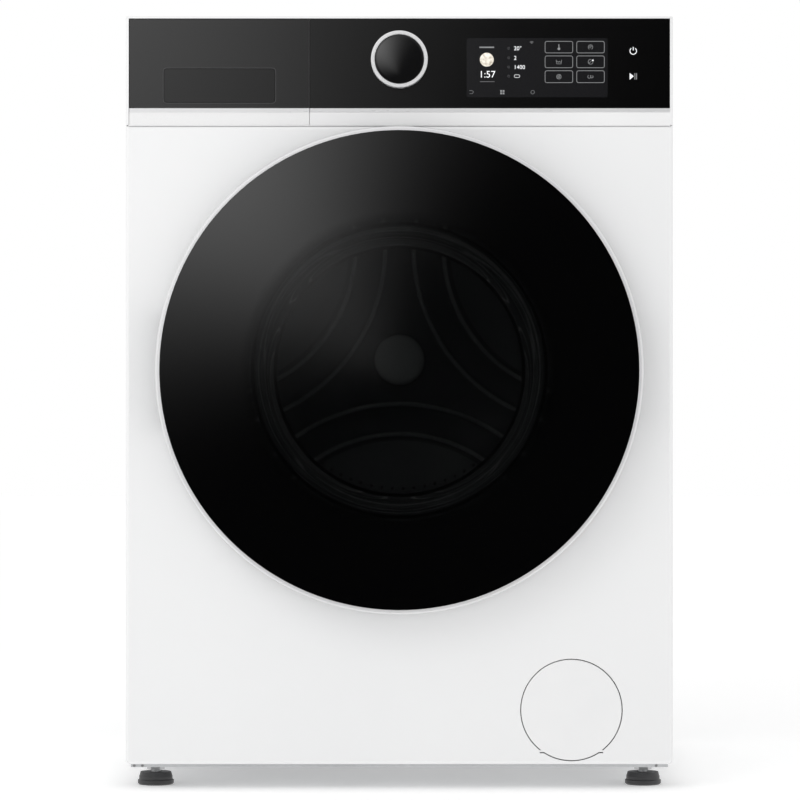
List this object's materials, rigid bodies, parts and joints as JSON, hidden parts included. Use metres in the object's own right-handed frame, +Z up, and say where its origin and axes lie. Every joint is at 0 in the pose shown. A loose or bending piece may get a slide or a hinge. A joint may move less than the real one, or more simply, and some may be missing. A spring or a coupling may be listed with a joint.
{
  "type": "front load washing machine",
  "caption": "Free-standing front-loading washing machine with a large round dark-glass door, gloss control strip, control knob and detergent drawer.",
  "frame": {"origin": "on the floor under the middle of the machine's overall box", "axes": "+Z up, -Y out of the door's face, +X to the right seen from the front"},
  "size_m": [0.598, 0.605, 0.845],
  "materials": {
    "white_enamel": "gloss",
    "galvanised_steel": "satin",
    "zinc_steel": "satin",
    "white_plastic": "gloss",
    "grey_plastic": "matte",
    "black_steel": "satin",
    "dark_plastic": "gloss",
    "dark_glass": "gloss",
    "clear_glass": "gloss",
    "bright_trim": "satin",
    "circuit": "matte",
    "rubber": "matte",
    "stainless": "satin",
    "steel": "satin",
    "cast_aluminium": "satin",
    "concrete": "rough"
  },
  "bodies": {
    "cabinet": {"left_side_panel": "white_enamel", "right_side_panel": "white_enamel", "rear_panel": "galvanised_steel", "rear_service_cover": "galvanised_steel", "rear_screws": "zinc_steel", "transit_plugs": "grey_plastic", "top_panel": "white_enamel", "front_panel": "white_enamel", "base_tray": "grey_plastic", "lock_nuts": "zinc_steel", "fascia_carrier": "white_plastic", "fascia_panel": "dark_glass", "fascia_trim": "bright_trim", "control_board": "circuit", "dispenser_housing": "white_plastic", "inlet_valve": "circuit", "inlet_hose": "rubber", "dispenser_hose": "rubber", "cable_gland": "dark_plastic", "drain_hose": "rubber", "drain_pump": "dark_plastic", "sump_hose": "rubber", "door_hinge_bracket": "galvanised_steel", "door_lock": "dark_plastic", "door_gasket": "rubber", "damper_cylinders": "dark_plastic", "suspension_springs": "steel"},
    "foot_front_left": {"foot_front_left": "black_steel"},
    "foot_front_right": {"foot_front_right": "black_steel"},
    "foot_rear_left": {"foot_rear_left": "black_steel"},
    "foot_rear_right": {"foot_rear_right": "black_steel"},
    "door": {"door_glass_cover": "dark_glass", "door_trim_ring": "bright_trim", "door_inner_frame": "white_plastic", "door_bowl": "clear_glass", "door_hinge_arm": "cast_aluminium"},
    "door_hook": {"door_hook": "dark_plastic"},
    "drawer": {"drawer_front": "white_plastic", "drawer_tray": "white_plastic", "siphon_cap": "grey_plastic"},
    "drawer_flap": {"drawer_flap": "dark_plastic"},
    "knob": {"knob_cap": "dark_plastic", "knob_ring": "bright_trim"},
    "tub": {"tub_front": "grey_plastic", "tub_rear": "grey_plastic", "counterweights": "concrete", "damper_rods": "steel", "heater": "stainless", "drum_bearings": "steel", "motor_body": "steel", "drive_belt": "rubber"},
    "drum": {"drum_shell": "stainless", "drum_back": "stainless", "drum_lifters": "grey_plastic", "drum_spider": "cast_aluminium", "drum_pulley": "cast_aluminium"},
    "motor_rotor": {"motor_rotor": "steel"},
    "pump_impeller": {"pump_impeller": "dark_plastic"},
    "pump_filter": {"pump_filter": "grey_plastic"},
    "filter_cover": {"filter_cover": "white_plastic"}
  },
  "joints": [
    {"name": "door_hinge", "type": "hinge", "parent": "cabinet", "child": "door", "pos_m": [-0.25, -0.2825, 0.458], "axis": [0, 0, -1], "range_deg": [0, 135]},
    {"name": "door_hook_spring", "type": "hinge", "parent": "door", "child": "door_hook", "pos_m": [0.215, -0.2705, 0.458], "axis": [0, 0, -1], "range_deg": [0, 7], "stiffness_Nm_per_rad": 0.4, "springref_deg": -11.46},
    {"name": "drawer_slide", "type": "slide", "parent": "cabinet", "child": "drawer", "axis": [0, -1, 0], "range_m": [0, 0.2]},
    {"name": "drawer_flap_hinge", "type": "hinge", "parent": "drawer", "child": "drawer_flap", "pos_m": [-0.1965, -0.2528, 0.7844], "axis": [1, 0, 0], "range_deg": [0, 40], "stiffness_Nm_per_rad": 0.03, "springref_deg": -17.19},
    {"name": "knob_spin", "type": "hinge", "parent": "cabinet", "child": "knob", "pos_m": [0, -0.2545, 0.797], "axis": [0, -1, 0], "continuous": true},
    {"name": "tub_float", "type": "slide", "parent": "cabinet", "child": "tub", "axis": [0, 0, 1], "range_m": [-0.012, 0.008], "stiffness_N_per_m": 9000, "springref_m": 0.03633, "deforming": ["door_gasket", "suspension_springs", "dispenser_hose", "sump_hose"]},
    {"name": "drum_spin", "type": "hinge", "parent": "tub", "child": "drum", "pos_m": [0, 0, 0.474], "axis": [0, -1, 0], "continuous": true},
    {"name": "motor_spin", "type": "hinge", "parent": "tub", "child": "motor_rotor", "pos_m": [-0.072, 0, 0.118], "axis": [0, -1, 0], "continuous": true},
    {"name": "pump_spin", "type": "hinge", "parent": "cabinet", "child": "pump_impeller", "pos_m": [0.188, 0, 0.087], "axis": [0, -1, 0], "continuous": true},
    {"name": "pump_filter_turn", "type": "hinge", "parent": "cabinet", "child": "pump_filter", "pos_m": [0.188, 0, 0.087], "axis": [0, 1, 0], "range_deg": [0, 90]},
    {"name": "filter_cover_hinge", "type": "hinge", "parent": "cabinet", "child": "filter_cover", "pos_m": [0.188, -0.25325, 0.042], "axis": [1, 0, 0], "range_deg": [0, 90]},
    {"name": "foot_front_left_screw", "type": "slide", "parent": "cabinet", "child": "foot_front_left", "axis": [0, 0, -1], "range_m": [0, 0.015]},
    {"name": "foot_front_right_screw", "type": "slide", "parent": "cabinet", "child": "foot_front_right", "axis": [0, 0, -1], "range_m": [0, 0.015]},
    {"name": "foot_rear_left_screw", "type": "slide", "parent": "cabinet", "child": "foot_rear_left", "axis": [0, 0, -1], "range_m": [0, 0.015]},
    {"name": "foot_rear_right_screw", "type": "slide", "parent": "cabinet", "child": "foot_rear_right", "axis": [0, 0, -1], "range_m": [0, 0.015]}
  ],
  "couplings": [
    {"joint": "motor_spin", "follows": "drum_spin", "ratio": 14}
  ]
}
